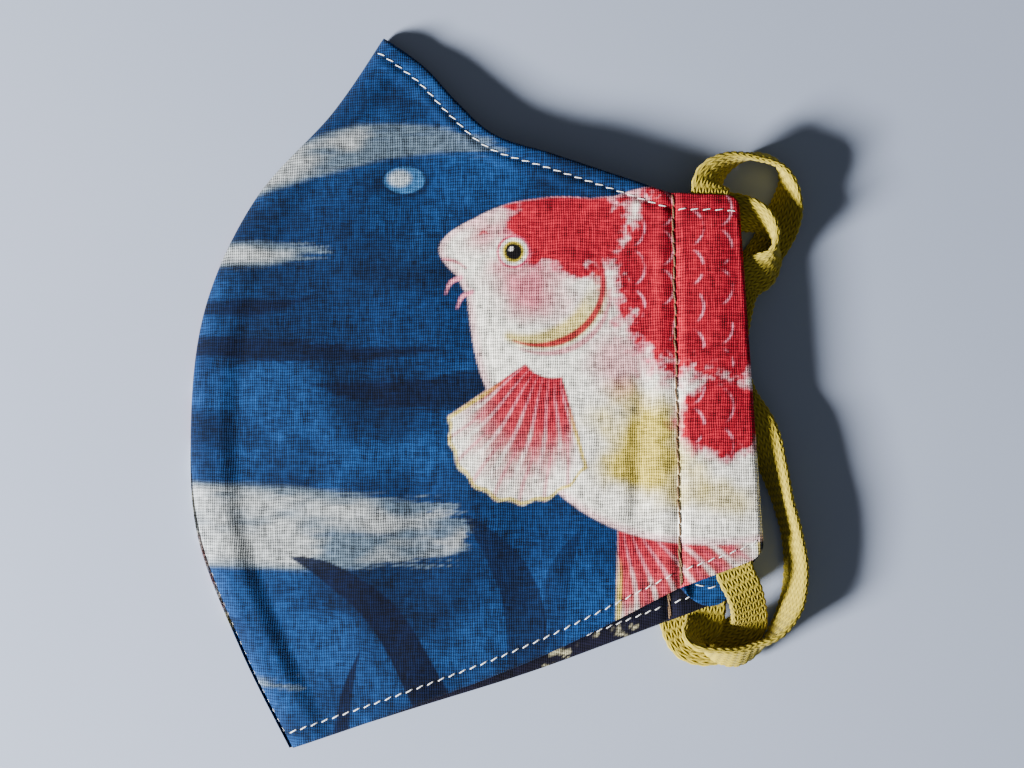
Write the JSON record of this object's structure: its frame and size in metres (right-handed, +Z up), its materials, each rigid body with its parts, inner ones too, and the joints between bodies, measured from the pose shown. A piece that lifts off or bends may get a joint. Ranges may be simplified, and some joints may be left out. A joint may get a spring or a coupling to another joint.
{
  "type": "folded cloth face mask",
  "caption": "Sewn and lined cloth face mask with shaped halves, ear channels and knitted ear loops, folded flat along its curved centre seam.",
  "frame": {"origin": "on the surface that the mask lies on, under the middle of its cloth", "axes": "+X from the centre seam towards the ear channels, +Y from chin to nose, +Z up from the surface"},
  "size_m": [0.1293, 0.1492, 0.0106],
  "materials": {
    "printed_cotton": "matt printed cotton sheeting",
    "navy_lining": "matt dark printed cotton sheeting",
    "olive_knit": "soft flat knitted ribbon",
    "white_thread": "polyester sewing thread",
    "brown_thread": "polyester sewing thread"
  },
  "bodies": {
    "right_half": {"right_outer_panel": "printed_cotton", "right_lining_panel": "navy_lining", "right_upper_topstitch": "white_thread", "right_lower_topstitch": "white_thread", "outer_centre_seam_thread": "white_thread", "lining_centre_seam_thread": "white_thread"},
    "left_half": {"left_outer_panel": "printed_cotton", "left_lining_panel": "navy_lining", "left_upper_topstitch": "white_thread", "left_lower_topstitch": "white_thread"},
    "right_channel": {"right_ear_channel": "printed_cotton", "right_channel_seam_stitch": "brown_thread", "right_channel_upper_stitch": "white_thread", "right_channel_lower_stitch": "white_thread", "right_loop_join": "olive_knit"},
    "left_channel": {"left_ear_channel": "printed_cotton", "left_channel_seam_stitch": "brown_thread", "left_channel_upper_stitch": "white_thread", "left_channel_lower_stitch": "white_thread", "left_loop_join": "olive_knit"},
    "right_loop": {"right_ear_loop": "olive_knit"},
    "left_loop": {"left_ear_loop": "olive_knit"}
  },
  "joints": [
    {"name": "centre_fold", "type": "hinge", "parent": "right_half", "child": "left_half", "pos_m": [-0.0594, 0, 0.00145], "axis": [-0.1204, -0.9927, 0], "range_deg": [0, 100]},
    {"name": "left_channel_fold", "type": "hinge", "parent": "left_half", "child": "left_channel", "pos_m": [0.04175, -0.0006, 0.00855], "axis": [0.0135, -0.9999, 0], "range_deg": [0, 75]},
    {"name": "right_channel_fold", "type": "hinge", "parent": "right_half", "child": "right_channel", "pos_m": [0.03975, -0.0076, 0.00335], "axis": [-0.0135, 0.9999, 0], "range_deg": [0, 75]},
    {"name": "left_loop_swing", "type": "hinge", "parent": "left_channel", "child": "left_loop", "pos_m": [0.0507, 0, 0.00855], "axis": [0.0557, -0.9984, 0], "range_deg": [0, 120], "deforming": ["left_ear_loop"]},
    {"name": "right_loop_swing", "type": "hinge", "parent": "right_channel", "child": "right_loop", "pos_m": [0.048, -0.007, 0.00335], "axis": [-0.022, 0.9998, 0], "range_deg": [0, 90], "deforming": ["right_ear_loop"]}
  ]
}
